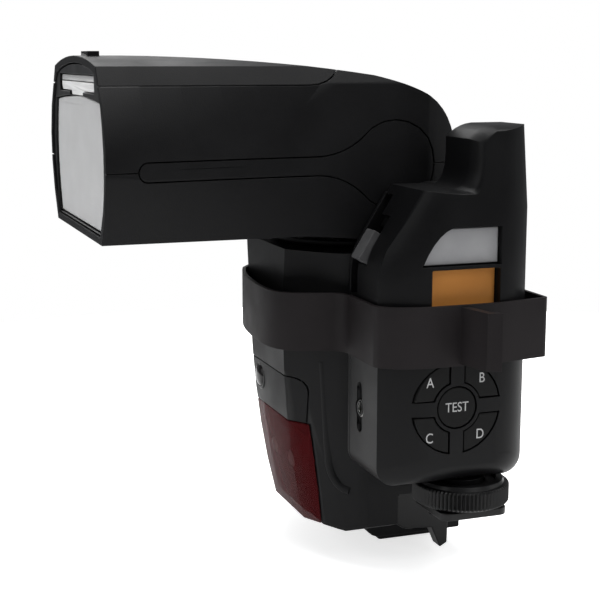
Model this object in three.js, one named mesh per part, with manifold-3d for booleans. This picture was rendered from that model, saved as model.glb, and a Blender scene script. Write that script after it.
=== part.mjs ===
// Speedlight flash standing on its shoe foot, with a radio trigger strapped to its side.
// Millimetres. X to the trigger's side, -Y where the head points, +Z up.
// The origin is the centre of the underside of the shoe foot.
import * as THREE from "three";
import Module from "manifold-3d";
import { mergeVertices } from "three/addons/utils/BufferGeometryUtils.js";

const wasm = await Module();
wasm.setup();

// ---- driving dimensions ----
const gap = 0.3; // clearance between touching pieces
const wall = 1.8; // casing wall
const discSides = 28;

const tilt = { y: -14.5, z: 109.6 }; // the head's tilt axis, and the swivel axis in plan
const head = {
  front: -91, low: 92, high: 137.2, seam: 130, split: 109.7,
  footHalf: 30.7, waistHalf: 31, seamHalf: 31.4, tail: 20, swing: 32.3, narrowBy: 60,
};
const pane = { low: 94.7, high: 125.6, bottomHalf: 28.6, topHalf: 29.8, recess: 1.1, thick: 2.4 };
const cardSlot = { low: 128.3, high: 132.2, half: 23.6, lip: 22.8, tongue: 9, sunk: 3.2 };
const topCorner = { half: 28.4, z: 134.6 };
const body = {
  front: -39.6, rear: 15.8, half: 32, low: 10.4, high: 87, split: -8, facet: 16.6, rake: 7.1,
};
const redWindow = { high: 39.2, rearHigh: -33.6, rearLow: -29.6 };
const cover = { high: 51.8, rear: -34.2 };
const foot = { plateHalf: 9.3, plateLength: 17, plate: 2, neckHalf: 6.1, shoulder: 4.4, baseHalf: 18.5 };
const hub = { y: -6, z: 14.6, radius: 6, from: 19, to: 26 };
const box = { inner: 32.5, back: 34, edge: 52, face: 57.5, front: -27.8, rear: 12.5, low: 31, high: 120.5 };
const keypad = { y: -8.6, z: 51.3, button: 5.2, inner: 6.6, outer: 11.7, cross: 4.2 };
const wheel = { x: 47.5, y: -2.2, radius: 12.5, low: 23.8, high: 30.4, bore: 6.3, teeth: 32 };
const strapBand = { low: 62.1, high: 77.3, thick: 1.0 };
const rear = { screenLow: 37, screenHigh: 60, screenHalf: 21, dialZ: 23.5, dialRadius: 9.4 };
const cell = { radius: 7.1, low: 13.6, high: 63.6 };

// ---- solids ----
const degrees = (angle) => (angle * Math.PI) / 180;

const solid = (geometry) => {
  geometry.deleteAttribute("normal");
  geometry.deleteAttribute("uv");
  const merged = mergeVertices(geometry, 1e-4);
  const mesh = new wasm.Mesh({
    numProp: 3,
    vertProperties: new Float32Array(merged.attributes.position.array),
    triVerts: new Uint32Array(merged.index.array),
  });
  return new wasm.Manifold(mesh);
};

const extrude = (shape, depth, steps = 1, curveSegments = 6) =>
  new THREE.ExtrudeGeometry(shape, { depth, steps, curveSegments, bevelEnabled: false });

// An outline in X and Y raised along Z.
const prismZ = (shape, low, high, steps, curves) =>
  solid(extrude(shape, high - low, steps, curves).translate(0, 0, low));

// An outline in X and Z pushed along Y.
const prismY = (shape, from, to, steps, curves) =>
  solid(extrude(shape, to - from, steps, curves).rotateX(Math.PI / 2).translate(0, to, 0));

// An outline in Y and Z pushed along X.
const standUp = new THREE.Matrix4().set(0, 0, 1, 0, 1, 0, 0, 0, 0, 1, 0, 0, 0, 0, 0, 1);
const prismX = (shape, from, to, steps, curves) =>
  solid(extrude(shape, to - from, steps, curves).applyMatrix4(standUp).translate(from, 0, 0));

const block = (x0, x1, y0, y1, z0, z1) =>
  solid(new THREE.BoxGeometry(x1 - x0, y1 - y0, z1 - z0)
    .translate((x0 + x1) / 2, (y0 + y1) / 2, (z0 + z1) / 2));

const rod = (radius, length, sides = discSides) =>
  new THREE.CylinderGeometry(radius, radius, length, sides);
const rodX = (y, z, radius, x0, x1, sides) =>
  solid(rod(radius, x1 - x0, sides).rotateZ(Math.PI / 2).translate((x0 + x1) / 2, y, z));
const rodY = (x, z, radius, y0, y1, sides) =>
  solid(rod(radius, y1 - y0, sides).translate(x, (y0 + y1) / 2, z));
const rodZ = (x, y, radius, z0, z1, sides) =>
  solid(rod(radius, z1 - z0, sides).rotateX(Math.PI / 2).translate(x, y, (z0 + z1) / 2));

const polygon = (...points) => new THREE.Shape(points.map(([u, v]) => new THREE.Vector2(u, v)));

const roundedRectangle = (u0, u1, v0, v1, radius) => {
  const shape = new THREE.Shape();
  shape.moveTo(u0 + radius, v0);
  shape.lineTo(u1 - radius, v0);
  shape.absarc(u1 - radius, v0 + radius, radius, -Math.PI / 2, 0);
  shape.lineTo(u1, v1 - radius);
  shape.absarc(u1 - radius, v1 - radius, radius, 0, Math.PI / 2);
  shape.lineTo(u0 + radius, v1);
  shape.absarc(u0 + radius, v1 - radius, radius, Math.PI / 2, Math.PI);
  shape.lineTo(u0, v0 + radius);
  shape.absarc(u0 + radius, v0 + radius, radius, Math.PI, Math.PI * 1.5);
  return shape;
};

const warp = (geometry, move) => {
  const places = geometry.attributes.position;
  const point = new THREE.Vector3();
  for (let i = 0; i < places.count; i += 1) {
    point.fromBufferAttribute(places, i);
    move(point);
    places.setXYZ(i, point.x, point.y, point.z);
  }
  return geometry;
};

const joined = (first, ...others) => others.reduce((sum, other) => sum.add(other), first);
const without = (first, ...others) => others.reduce((rest, other) => rest.subtract(other), first);

// ---- finishes ----
const finish = (color, roughness, metalness = 0, opacity = 1) => new THREE.MeshStandardMaterial({
  color, roughness, metalness, opacity, transparent: opacity < 1,
});
const black = finish(0x2b2b2c, 0.5);
const darkBlack = finish(0x1c1c1d, 0.45);
const rubber = finish(0x3a3637, 0.7);
const frosted = finish(0xcdcdcd, 0.4);
const white = finish(0xf4f4f4, 0.5);
const clear = finish(0xdfe6ea, 0.15, 0, 0.5);
const red = finish(0x8c1a22, 0.15, 0, 0.7);
const smoked = finish(0x0b0b0c, 0.1);
const silver = finish(0xc8c9cb, 0.25, 1);
const brass = finish(0xc8a75a, 0.35, 1);
const steel = finish(0x9a9a98, 0.35, 1);
const orange = finish(0xb97f45, 0.4);
const grey = finish(0x8f8f90, 0.4);
const green = finish(0x2c5a3c, 0.6);
const blue = finish(0x2b3a5c, 0.5);

const assembly = new THREE.Group();
const piece = (name, shape, material) => {
  const { numProp, vertProperties, triVerts } = shape.getMesh();
  const places = new Float32Array((vertProperties.length / numProp) * 3);
  for (let i = 0; i < places.length / 3; i += 1) {
    for (let axis = 0; axis < 3; axis += 1) {
      places[3 * i + axis] = vertProperties[numProp * i + axis];
    }
  }
  const geometry = new THREE.BufferGeometry();
  geometry.setAttribute("position", new THREE.BufferAttribute(places, 3));
  geometry.setIndex(new THREE.BufferAttribute(new Uint32Array(triVerts), 1));
  geometry.computeVertexNormals();
  const mesh = new THREE.Mesh(geometry, material);
  mesh.name = name;
  assembly.add(mesh);
};

// ---- head: one rounded block, cut into its casings ----
// Seen from the front, the sides bulge and the top arches.
const headOutline = (inset) => {
  const low = head.low - 4 + inset;
  const top = head.high - inset;
  const side = (sign) => (x) => sign * (x - inset);
  const right = side(1);
  const left = side(-1);
  const shape = new THREE.Shape();
  shape.moveTo(left(head.footHalf), low);
  shape.lineTo(right(head.footHalf), low);
  shape.lineTo(right(head.footHalf), head.low + inset);
  shape.bezierCurveTo(
    right(40.2), head.low + 13, right(40.7), head.low + 28, right(head.seamHalf), head.seam,
  );
  shape.lineTo(right(topCorner.half), topCorner.z - inset);
  shape.quadraticCurveTo(15, top, 0, top);
  shape.quadraticCurveTo(-15, top, left(topCorner.half), topCorner.z - inset);
  shape.lineTo(left(head.seamHalf), head.seam);
  shape.bezierCurveTo(
    left(40.7), head.low + 28, left(40.2), head.low + 13, left(head.footHalf), head.low + inset,
  );
  return shape;
};

// The bulge fades out before the tilt axis, where the sides are flat.
const fadeBulge = (inset) => (point) => {
  const half = head.waistHalf - inset;
  const back = Math.min(Math.max((point.y - head.front) / head.narrowBy, 0), 1);
  const spare = Math.abs(point.x) - half;
  if (spare > 0) {
    point.x = Math.sign(point.x) * (half + spare * (1 - back) ** 1.5);
  }
};

// Seen from the side, the top falls away and the tail is a drum about the tilt axis.
const headProfile = (inset, front) => {
  const tail = head.tail - inset;
  const low = head.low + inset;
  const high = head.high - inset;
  const shape = new THREE.Shape();
  shape.moveTo(front, low);
  shape.lineTo(-39, low);
  shape.quadraticCurveTo(-26, low - 0.9, tilt.y + tail * Math.cos(degrees(-100)),
    tilt.z + tail * Math.sin(degrees(-100)));
  shape.absarc(tilt.y, tilt.z, tail, degrees(-100), degrees(60));
  shape.quadraticCurveTo(-9.7, 129.9 - inset, -20, 132.3 - inset);
  shape.quadraticCurveTo(-50, 136.8 - inset, -79, high);
  shape.lineTo(front, high);
  return shape;
};

// Seen from above, the tail's corners stay inside the circle that the head swivels in.
const headPlan = (inset, front) => {
  const swing = head.swing - inset;
  const start = Math.acos((head.waistHalf + 1 - inset) / swing);
  const shape = new THREE.Shape();
  shape.moveTo(-45, front);
  shape.lineTo(45, front);
  shape.lineTo(45, tilt.y - 6);
  shape.lineTo(swing * Math.cos(start), tilt.y - 6);
  shape.absarc(0, tilt.y, swing, start, Math.PI - start);
  shape.lineTo(-swing * Math.cos(start), tilt.y - 6);
  shape.lineTo(-45, tilt.y - 6);
  return shape;
};

const headBlock = (inset, front = head.front) => {
  const length = 10 - front;
  const outline = extrude(headOutline(inset), length, 10, 5).rotateX(Math.PI / 2).translate(0, 10, 0);
  const bulged = solid(warp(outline, fadeBulge(inset)));
  const side = prismX(headProfile(inset, front), -45, 45, 1, 10);
  const plan = prismZ(headPlan(inset, front), head.low - 6, head.high + 2, 1, 12);
  return bulged.intersect(side).intersect(plan);
};

const headSkin = headBlock(0).subtract(headBlock(wall, head.front - 1));

// The long groove on each side: a slim strip with a round end over the tilt axle.
const stripOutline = (grow) => {
  const half = 2.25 + grow;
  const round = 11.3 + grow;
  const flare = Math.asin((half + 1.5) / round);
  const shape = new THREE.Shape();
  shape.moveTo(-80.4, head.split - half);
  shape.lineTo(-36, head.split - half);
  shape.quadraticCurveTo(-29, head.split - half, tilt.y - round * Math.cos(flare * 1.9),
    tilt.z - round * Math.sin(flare * 1.9));
  shape.absarc(tilt.y, tilt.z, round, -Math.PI + flare * 1.9, Math.PI - flare * 1.9);
  shape.quadraticCurveTo(-29, head.split + half, -36, head.split + half);
  shape.lineTo(-80.4, head.split + half);
  shape.absarc(-80.4, head.split, half, Math.PI / 2, Math.PI * 1.5);
  return shape;
};
const stripDepth = 1.0;
const stripPocket = joined(
  prismX(stripOutline(gap), 20, 45, 1, 8),
  prismX(stripOutline(gap), -45, -20, 1, 8),
).subtract(headBlock(stripDepth + gap));
const strips = headBlock(0.15).subtract(headBlock(stripDepth));
const stripCut = (side) => (side > 0
  ? prismX(stripOutline(0), 20, 45, 1, 8)
  : prismX(stripOutline(0), -45, -20, 1, 8));

// The top cover's seam runs level along each side and curves up over the top.
const coverCut = (grow) => {
  const shape = new THREE.Shape();
  shape.moveTo(head.front - 2, head.seam - grow);
  shape.lineTo(-38, head.seam - grow);
  shape.quadraticCurveTo(-30 + grow, head.seam - grow, -28 + grow, head.high + 1);
  shape.lineTo(head.front - 2, head.high + 1);
  return prismX(shape, -45, 45, 1, 6);
};

// The slot under the tail that the neck stands in, swept through the head's tilt.
const neckSlot = () => {
  const shape = new THREE.Shape();
  shape.moveTo(tilt.y, tilt.z);
  shape.absarc(tilt.y, tilt.z, head.tail + 4, degrees(-128), degrees(40));
  return joined(
    prismX(shape, -14, 14, 1, 8),
    rodX(tilt.y, tilt.z, 12.5, -14, 14),
  );
};

const axleHole = rodX(tilt.y, tilt.z, 3.3, -28, 28, 20);
const releaseWell = rodX(tilt.y, tilt.z, 4.3, -40, -28.4, 24);
const saddle = (side, from, to) => {
  const x0 = side > 0 ? 16 : -head.waistHalf + wall - 0.5;
  const x1 = side > 0 ? head.waistHalf - wall + 0.5 : -16;
  return block(x0, x1, tilt.y - 5.5, tilt.y + 5.5, from, to);
};
const headRoom = headBlock(wall / 2);
const saddles = (from, to) => joined(saddle(1, from, to), saddle(-1, from, to)).intersect(headRoom);

const split = gap / 2;
const lowerHalf = block(-50, 50, -100, 20, 80, head.split - split);
const upperHalf = block(-50, 50, -100, 20, head.split + split, 150);

piece("head_lower_shell", without(
  headSkin.intersect(lowerHalf).add(saddles(92, head.split - split)),
  neckSlot(), stripPocket, axleHole, releaseWell,
), black);
piece("head_upper_shell", without(
  headSkin.intersect(upperHalf).add(saddles(head.split + split, 128)),
  neckSlot(), stripPocket, axleHole, releaseWell, coverCut(gap),
), black);

const tab = block(-2, 7, head.front + 2.4, head.front + 5.4, head.high - 1, head.high + 1.1);
piece("head_top_cover", headSkin.intersect(coverCut(0)).add(tab), black);
piece("pivot_cover_right", strips.intersect(stripCut(1)), black);
piece("pivot_cover_left", strips.intersect(stripCut(-1)).subtract(releaseWell), black);

const windowOutline = (grow) => {
  const low = pane.low - grow;
  const high = pane.high + grow;
  const bottom = pane.bottomHalf + grow;
  const top = pane.topHalf + grow;
  const shape = new THREE.Shape();
  shape.moveTo(-bottom, low);
  shape.lineTo(bottom, low);
  shape.bezierCurveTo(bottom + 4.6, low + 11, top + 4, low + 20, top, high);
  shape.quadraticCurveTo(0, high + 2.6, -top, high);
  shape.bezierCurveTo(-top - 4, low + 20, -bottom - 4.6, low + 11, -bottom, low);
  return shape;
};

// The front frame holds the pane, with the card slot and its thumb notch above it.
const cardSlotCut = joined(
  block(-cardSlot.half, cardSlot.half, -100, -60, cardSlot.low - gap, cardSlot.high + gap),
  block(-cardSlot.tongue, cardSlot.tongue, -100, -60, 126.9, cardSlot.low),
);
const frameRear = head.front + 10;
const frameBlank = headBlock(wall + gap, head.front + 0.5)
  .intersect(block(-50, 50, head.front + 0.5, frameRear, 90, 140));
piece("head_front_frame", without(
  frameBlank,
  prismY(windowOutline(gap), head.front - 1, head.front + 5, 1, 6),
  prismY(windowOutline(-1.2), head.front - 1, frameRear + 1, 1, 6),
  cardSlotCut,
), darkBlack);
const paneFront = head.front + pane.recess;
piece("lens_pane", prismY(windowOutline(0), paneFront, paneFront + pane.thick, 1, 6), frosted);

const lipFront = head.front + cardSlot.sunk;
const lipRear = lipFront + 3;
piece("bounce_card", joined(
  block(-cardSlot.lip, cardSlot.lip, lipFront, lipRear, cardSlot.low, 130.5),
  block(-cardSlot.tongue + gap, cardSlot.tongue - gap, lipFront, lipRear, 127.2, 129),
  block(-21, 21, lipRear - 1, -46, 129.2, 130.2),
), white);
piece("wide_panel", joined(
  block(-cardSlot.lip, cardSlot.lip, lipFront, lipRear, 130.8, cardSlot.high),
  block(-20, 20, lipRear - 1, -47, 130.9, 132),
), clear);

// ---- inside the head: the zoom carriage, its screw and motor ----
const mirror = { mouth: -78, apex: -57, half: 12, thick: 1, side: 21.5 };
const trough = (grow) => {
  const shape = new THREE.Shape();
  const steps = 7;
  const reach = mirror.apex - mirror.mouth;
  for (let i = -steps; i <= steps; i += 1) {
    const rise = i / steps;
    const y = mirror.apex + grow - reach * rise * rise;
    const z = tilt.z + (mirror.half + grow) * rise;
    if (i === -steps) {
      shape.moveTo(y, z);
    } else {
      shape.lineTo(y, z);
    }
  }
  return shape;
};
const reflector = without(
  prismX(trough(mirror.thick), -mirror.side - 1, mirror.side + 1),
  prismX(trough(0), -mirror.side, mirror.side),
  block(-40, 40, mirror.mouth - 5, mirror.mouth + 1.2, 90, 130),
);
piece("reflector", reflector, silver);
piece("flash_tube", rodX(-61.6, tilt.z, 2, -20.5, 20.5, 16), clear);
const screw = { x: 24.6, z: 106, radius: 1.3 };
piece("zoom_carriage", without(
  block(-26.4, 26.4, -55.4, -52.6, 95, 124),
  block(-18, 18, -60, -50, 100, 119),
  rodY(screw.x, screw.z, screw.radius + gap, -60, -50, 16),
), darkBlack);
piece("zoom_screw", rodY(screw.x, screw.z, screw.radius, -74, -50.7, 12), steel);
piece("zoom_motor", rodY(screw.x, screw.z, 4.4, -50.4, -38, 20), silver);
const pressFace = -head.waistHalf - 0.6;
piece("tilt_release_button", rodX(tilt.y, tilt.z, 4, pressFace, pressFace + 1.7, 24), darkBlack);

// ---- neck: a turntable with one post that the tilt axle runs through ----
const postProfile = new THREE.Shape();
postProfile.moveTo(tilt.y - 9, body.high + 0.8);
postProfile.lineTo(tilt.y + 9, body.high + 0.8);
postProfile.lineTo(tilt.y + 9, tilt.z);
postProfile.absarc(tilt.y, tilt.z, 9, 0, Math.PI);
piece("neck_turntable", without(
  rodZ(0, tilt.y, 22, body.high + gap, 88.9, 36).add(prismX(postProfile, -13, 13, 1, 10)),
  axleHole,
), darkBlack);
piece("tilt_axle", rodX(tilt.y, tilt.z, 3, -27.5, 27.5, 20), steel);

// ---- flash body: a raked bullet in plan, cut into two shells ----
const bodyPlan = (inset) => {
  const half = body.half - inset;
  const rearY = body.rear - inset;
  const frontY = body.front + inset;
  const facet = body.facet - inset * 0.45;
  const corner = 6;
  const shape = new THREE.Shape();
  shape.moveTo(-facet, frontY);
  shape.lineTo(facet, frontY);
  shape.lineTo(24.5 - inset * 0.7, -33.8 + inset * 0.8);
  shape.quadraticCurveTo(half, -28 + inset * 0.5, half, -21.5);
  shape.lineTo(half, rearY - corner);
  shape.absarc(half - corner, rearY - corner, corner, 0, Math.PI / 2);
  shape.lineTo(-half + corner, rearY);
  shape.absarc(-half + corner, rearY - corner, corner, Math.PI / 2, Math.PI);
  shape.lineTo(-half, -21.5);
  shape.quadraticCurveTo(-half, -28 + inset * 0.5, -24.5 + inset * 0.7, -33.8 + inset * 0.8);
  return shape;
};

// The front leans back towards the foot and grows narrower.
const rakeFront = (point) => {
  const down = Math.min(Math.max((body.high - point.z) / (body.high - body.low), 0), 1);
  const ahead = Math.min(Math.max((-20 - point.y) / (-20 - body.front), 0), 1);
  point.y += body.rake * down ** 2.8 * ahead;
  point.x *= 1 - 0.27 * down ** 0.6 * ahead;
};

// The underside slopes up towards each side.
const underSlope = (side, inset) => prismY(polygon(
  ...[[26, body.low - 5], [40, body.low - 5], [40, body.low + inset + 6], [26, body.low + inset]]
    .map(([x, z]) => [side * x, z]),
), -50, 30);

const bodyBlock = (inset) => {
  const low = body.low + inset;
  const high = body.high - inset;
  const geometry = extrude(bodyPlan(inset), high - low, 7, 4).translate(0, 0, low);
  return without(solid(warp(geometry, rakeFront)), underSlope(1, inset), underSlope(-1, inset));
};

const redRegion = (grow) => prismX(polygon(
  [-60, body.low - 5], [redWindow.rearLow + grow, body.low - 5],
  [redWindow.rearLow + grow, body.low], [redWindow.rearHigh + grow, redWindow.high + grow],
  [-60, redWindow.high + grow],
), -40, 40);
const coverRegion = (grow) => {
  const high = cover.high + grow;
  const back = cover.rear + grow;
  const shape = new THREE.Shape();
  shape.moveTo(-60, redWindow.high + gap - grow);
  shape.lineTo(back, redWindow.high + gap - grow);
  shape.lineTo(back, high - 4);
  shape.quadraticCurveTo(back, high, back - 4, high);
  shape.lineTo(-60, high);
  return prismX(shape, -40, 40);
};

const bodyOuter = bodyBlock(0);
const bodySkin = bodyOuter.subtract(bodyBlock(wall));
const sensorHole = (radius) => rodY(-8.5, 47.3, radius, -45, -30, 20);
const hubPocket = block(18.7, 40, -12.6, 9.8, 0, 21);
const doorRegion = (grow) => block(-40, -20, -22 - grow, 9.4 + grow, 13.6 - grow, 61 + grow);
const socketRegion = (grow) => prismX(roundedRectangle(
  -31.4 - grow, -25.6 + grow, 40 - grow, 58 + grow, 2,
), -40, 0, 1, 4);
const bodyFrontHalf = block(-50, 50, -60, body.split - split, 0, 100);
const bodyRearHalf = block(-50, 50, body.split + split, 30, 0, 100);
const pocketWalls = block(17.2, 31.5, -14.1, 11.3, body.low, 22.5).subtract(hubPocket);
const shellWithPocket = bodySkin.subtract(hubPocket).add(pocketWalls.intersect(bodyOuter));

piece("body_front_shell", without(
  shellWithPocket.intersect(bodyFrontHalf),
  redRegion(gap), coverRegion(gap), doorRegion(gap), socketRegion(gap),
), black);

// ---- the rear panel's controls ----
const rearButtons = [
  { name: "button_mode", x: -22, z: 30.5 },
  { name: "button_zoom", x: -22, z: 19.5 },
  { name: "button_light", x: 22, z: 30.5 },
];
const buttonHalf = 4.2;
const buttonShape = ({ x, z }, grow) => roundedRectangle(
  x - buttonHalf - grow, x + buttonHalf + grow, z - 2.6 - grow, z + 2.6 + grow, 2,
);
const powerSwitch = { x: 23.4, z: 22.4, travel: 5, half: 2.4 };
const rearControls = joined(
  rodY(0, rear.dialZ, rear.dialRadius + gap, 10, 20, 32),
  ...rearButtons.map((button) => prismY(buttonShape(button, gap), 10, 20, 1, 4)),
  rodY(-22, 82, 2.6 + gap, 10, 20, 20),
  block(16.2, 27.6, 10, 20, powerSwitch.z - 1.6, powerSwitch.z + 1.6),
);
const screenRegion = (grow) => prismY(roundedRectangle(
  -rear.screenHalf - grow, rear.screenHalf + grow, rear.screenLow - grow, rear.screenHigh + grow, 1.5,
), 10, 20, 1, 3);

piece("body_rear_shell", without(
  shellWithPocket.intersect(bodyRearHalf),
  rearControls, screenRegion(gap), doorRegion(gap),
), black);
piece("af_window", bodySkin.intersect(redRegion(0)), red);
piece("front_cover", bodySkin.intersect(coverRegion(0)).subtract(sensorHole(3.6)), black);
piece("light_sensor", bodyBlock(0.3).subtract(bodyBlock(2.4)).intersect(sensorHole(3.3)), smoked);
piece("battery_door", bodySkin.intersect(doorRegion(0)), black);
piece("socket_cover", bodyBlock(0.1).subtract(bodyBlock(wall)).intersect(socketRegion(0)), rubber);
piece("display_window", block(-50, 50, body.rear - 1.6, body.rear - 0.4, 0, 90)
  .intersect(screenRegion(0)), smoked);
piece("display_panel", block(-18.5, 18.5, body.rear - 4.4, body.rear - 2.4, 39, 58), green);

piece("select_dial", without(
  rodY(0, rear.dialZ, rear.dialRadius, body.rear - 1.6, body.rear + 1.2, 36),
  rodY(0, rear.dialZ, 4.2 + gap, 0, 30, 28),
), darkBlack);
piece("set_button", rodY(0, rear.dialZ, 4.2, body.rear - 1.5, body.rear + 0.9, 28), black);
rearButtons.forEach((button) => {
  piece(button.name, prismY(buttonShape(button, 0), body.rear - 1.4, body.rear + 0.7, 1, 4), darkBlack);
});
piece("pilot_button", rodY(-22, 82, 2.6, body.rear - 1.4, body.rear + 0.6, 20), clear);
piece("power_switch", joined(
  block(16.5, 22, body.rear - 1.4, body.rear + 0.2, powerSwitch.z - 1.3, powerSwitch.z + 1.3),
  block(17.5, 21, body.rear - 1, body.rear + 1.1, powerSwitch.z - 1.3, powerSwitch.z + 1.3),
), darkBlack);

// ---- inside the body ----
[[-21.4, -13.9], [-21.4, 1.2], [-6.6, -13.9], [-6.6, 1.2]].forEach(([x, y], index) => {
  piece(`battery_${index + 1}`, joined(
    rodZ(x, y, cell.radius, cell.low, cell.high - 1.4, 18),
    rodZ(x, y, 2.6, cell.high - 2, cell.high, 12),
  ), index % 2 ? steel : grey);
});
piece("capacitor", rodZ(15, -15.5, 8.6, 24, 66, 22), blue);
piece("main_board", block(-27, 27, body.rear - 6.4, body.rear - 4.8, 24, 80), green);

// ---- foot: base, neck and plate, with the contact block inside ----
const halfPlate = foot.plateLength / 2;
const contactSpots = [[0, 2.4, 1.1], [-4, 2.4, 0.7], [4, 2.4, 0.7], [-3, 5.4, 0.7], [3, 5.4, 0.7]];
const pinSet = (grow, low, high) => joined(
  ...contactSpots.map(([x, y, radius]) => rodZ(x, y, radius + grow, low, high, 12)),
);
const footProfile = new THREE.Shape();
footProfile.moveTo(-16.5, body.low - gap);
footProfile.lineTo(-16.5, 8.4);
footProfile.quadraticCurveTo(-15.6, foot.shoulder, -11.8, foot.shoulder);
footProfile.lineTo(12.5, foot.shoulder);
footProfile.lineTo(12.5, body.low - gap);
piece("foot_block", without(
  joined(
    prismX(footProfile, -foot.baseHalf, foot.baseHalf, 1, 5),
    block(-foot.neckHalf, foot.neckHalf, -7.6, 7.6, foot.plate + gap, foot.shoulder + 1),
  ),
  block(-5.4, 5.4, 1, 6.8, 0, 4.6),
), black);
const plateOutline = roundedRectangle(-foot.plateHalf, foot.plateHalf, -halfPlate, halfPlate, 0.8);
piece("shoe_plate", prismZ(plateOutline, 0, foot.plate, 1, 3).subtract(pinSet(gap, -1, 3)), darkBlack);
piece("contact_pins", joined(
  block(-5, 5, 1.3, 6.5, foot.plate + gap, 4.2),
  pinSet(0, -0.5, foot.plate + 1),
), brass);
const leverProfile = new THREE.Shape();
leverProfile.moveTo(hub.y, hub.z);
leverProfile.lineTo(hub.y + 1, hub.z - 5.8);
leverProfile.lineTo(0.2, 8.2);
leverProfile.lineTo(2.8, 2.2);
leverProfile.lineTo(5, 3.4);
leverProfile.lineTo(5.2, 10.6);
piece("lock_lever", joined(
  rodX(hub.y, hub.z, hub.radius, hub.from, hub.to),
  prismX(leverProfile, hub.to - 4.6, hub.to),
), black);

// ---- trigger box ----
const boxOutline = (grow) => {
  const front = box.front - grow;
  const back = box.rear + grow;
  const low = box.low - grow;
  const corner = 5;
  const shape = new THREE.Shape();
  shape.moveTo(front + corner, low);
  shape.lineTo(back - corner, low);
  shape.absarc(back - corner, low + corner, corner, -Math.PI / 2, 0);
  shape.lineTo(back, 100);
  shape.lineTo(back - 1.6, box.high + grow);
  shape.lineTo(2.4 - grow, box.high + grow);
  shape.quadraticCurveTo(-1.6 - grow, box.high - 0.3 + grow, -4.6 - grow, 117.2);
  shape.lineTo(-4.6 - grow, 113);
  shape.quadraticCurveTo(-4.8 - grow, 105 + grow, -9 - grow, 105 + grow);
  shape.lineTo(-16.8 - grow / 2, 105 + grow);
  shape.lineTo(-25.6 - grow, 90.8);
  shape.quadraticCurveTo(front, 86.6, front, 82);
  shape.lineTo(front, low + corner);
  shape.absarc(front + corner, low + corner, corner, Math.PI, Math.PI * 1.5);
  return shape;
};

// The face is domed: from a crisp edge it shrinks along part of an ellipse, most at the front.
const pillow = { y: 0, z: 75, front: 0.5, rear: 0.8, top: 0.03, bottom: 0.12, start: 40 };
const pillowFace = (point) => {
  const start = degrees(pillow.start);
  const share = (point.x - box.edge) / (box.face - box.edge);
  const turn = start + share * (Math.PI / 2 - start);
  const shrink = (Math.cos(start) - Math.cos(turn)) / Math.cos(start);
  const climb = (Math.sin(turn) - Math.sin(start)) / (1 - Math.sin(start));
  point.x = box.edge + (box.face - box.edge) * climb;
  point.y *= 1 - shrink * (point.y < pillow.y ? pillow.front : pillow.rear);
  const rise = point.z - pillow.z;
  point.z = pillow.z + rise * (1 - shrink * (rise > 0 ? pillow.top : pillow.bottom));
};
const facePart = extrude(boxOutline(0), box.face - box.edge, 6, 5)
  .applyMatrix4(standUp).translate(box.edge, 0, 0);
const boxSolid = prismX(boxOutline(0), box.inner, box.edge, 1, 5).add(solid(warp(facePart, pillowFace)));
const antennaRoom = block(0, 40, -40, 20, 105.4, 130);
const boxCavity = prismX(boxOutline(-3.4), box.inner + 1.5, 53, 1, 4)
  .intersect(block(0, 100, -40, 20, 20, 103));

const panelOutline = (grow) => {
  const shape = new THREE.Shape();
  shape.moveTo(-18 - grow, 87 - grow);
  shape.lineTo(2.4 + grow, 87 - grow);
  shape.lineTo(2.4 + grow, 95.8 + grow);
  shape.lineTo(-10.6, 95.8 + grow);
  shape.quadraticCurveTo(-14.6 - grow, 94.4 + grow, -18 - grow, 87 - grow);
  return shape;
};
const displayOutline = (grow) => roundedRectangle(
  -15.6 - grow, 2.2 + grow, 63.4 - grow, 85.6 + grow, 0.4,
);

const quadrant = (ySign, zSign, grow) => {
  const cross = keypad.cross / 2 - grow;
  const outer = keypad.outer + grow;
  const inner = keypad.inner - grow;
  const a = Math.asin(cross / outer);
  const b = Math.asin(cross / inner);
  const shape = new THREE.Shape();
  const outerArc = new THREE.EllipseCurve(0, 0, outer, outer, a, Math.PI / 2 - a).getPoints(7);
  const innerArc = new THREE.EllipseCurve(0, 0, inner, inner, Math.PI / 2 - b, b, true).getPoints(5);
  const loop = [...outerArc, ...innerArc].map(
    (point) => new THREE.Vector2(keypad.y + point.x * ySign, keypad.z + point.y * zSign),
  );
  shape.setFromPoints(loop);
  return shape;
};
const keys = [
  { name: "key_a", ySign: -1, zSign: 1 },
  { name: "key_b", ySign: 1, zSign: 1 },
  { name: "key_c", ySign: -1, zSign: -1 },
  { name: "key_d", ySign: 1, zSign: -1 },
];
const keyHoles = joined(
  ...keys.map(({ ySign, zSign }) => prismX(quadrant(ySign, zSign, gap), 50, 60)),
  rodX(keypad.y, keypad.z, keypad.button + gap, 50, 60),
);

// A channel for the slide switch runs down the slanted edge, between the shells.
const slant = new THREE.Vector2(8.8, 14.2).normalize();
const alongSlant = (distance, depth) => [
  -25.6 + slant.x * distance + slant.y * depth,
  90.8 + slant.y * distance - slant.x * depth,
];
const channelCut = joined(
  prismX(polygon(
    alongSlant(-1, -6), alongSlant(14, -6), alongSlant(14, 3), alongSlant(-1, 3),
  ), box.back - 1, 38.4),
  block(box.back - 1, 38.4, -40, box.front + 2.6, 77.6, 89),
);
const switchProfile = (from, to, low, high) => polygon(
  alongSlant(from, -high), alongSlant(to, -high), alongSlant(to, low), alongSlant(from, low),
);
const switchSeat = prismX(switchProfile(-5.2, 8.4, 2.2, 6), 37.8, 43.6);
const jack = { x: 40.6, z: 48.6, radius: 2.3 };
const jackRecess = joined(
  prismY(roundedRectangle(jack.x - 1.7, jack.x + 1.7, 42.4, 55.6, 1.69), -40, box.front + 0.8, 1, 4),
  rodY(jack.x, jack.z, jack.radius + gap, -40, box.front + 4, 20),
);

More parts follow.
